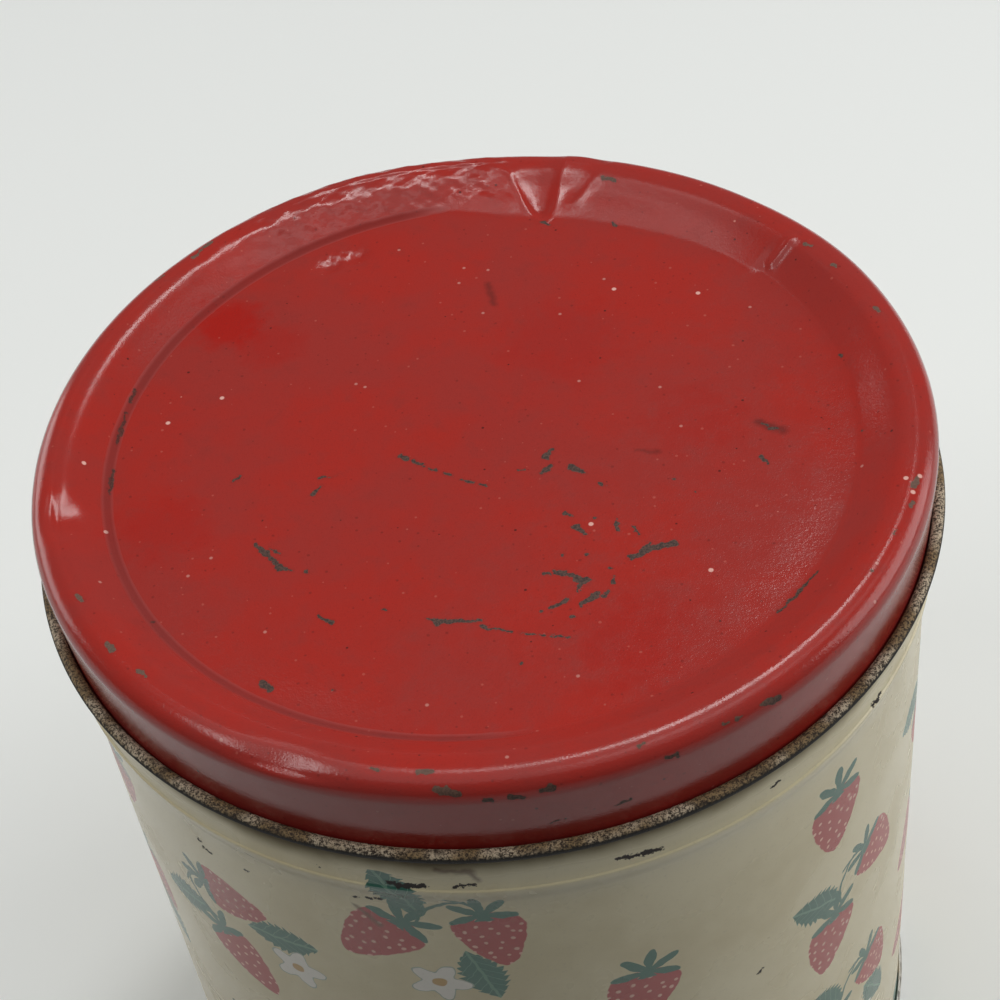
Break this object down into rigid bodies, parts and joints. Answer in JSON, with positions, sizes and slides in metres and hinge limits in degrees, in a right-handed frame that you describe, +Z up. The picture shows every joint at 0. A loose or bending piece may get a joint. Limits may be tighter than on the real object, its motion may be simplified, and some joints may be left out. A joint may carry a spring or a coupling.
{
  "type": "tin canister",
  "caption": "Round tinplate canister with a curled rim, a base held by a double seam and a press-in lid with a sunk panel that lifts straight off, for dry kitchen goods.",
  "frame": {"origin": "middle of the tin on the surface that it stands on", "axes": "+Z up along the tin's axis and the way the lid lifts, -Y towards the front, +Y towards the side seam at the back"},
  "size_m": [0.1674, 0.1674, 0.178],
  "materials": {
    "red_paint": "worn gloss enamel on tinplate, with chips, specks and scuffs",
    "cream_paint": "aged cream print on tinplate with a scattered berry pattern, and a bare, rusty curled rim",
    "bare_tin": "dull bare tinplate, lightly stained"
  },
  "bodies": {
    "tin": {"body": "cream_paint", "base": "bare_tin"},
    "lid": {"lid": "red_paint"}
  },
  "joints": [
    {"name": "lid_lift", "type": "slide", "parent": "tin", "child": "lid", "axis": [0, 0, 1], "range_m": [0, 0.1]}
  ]
}
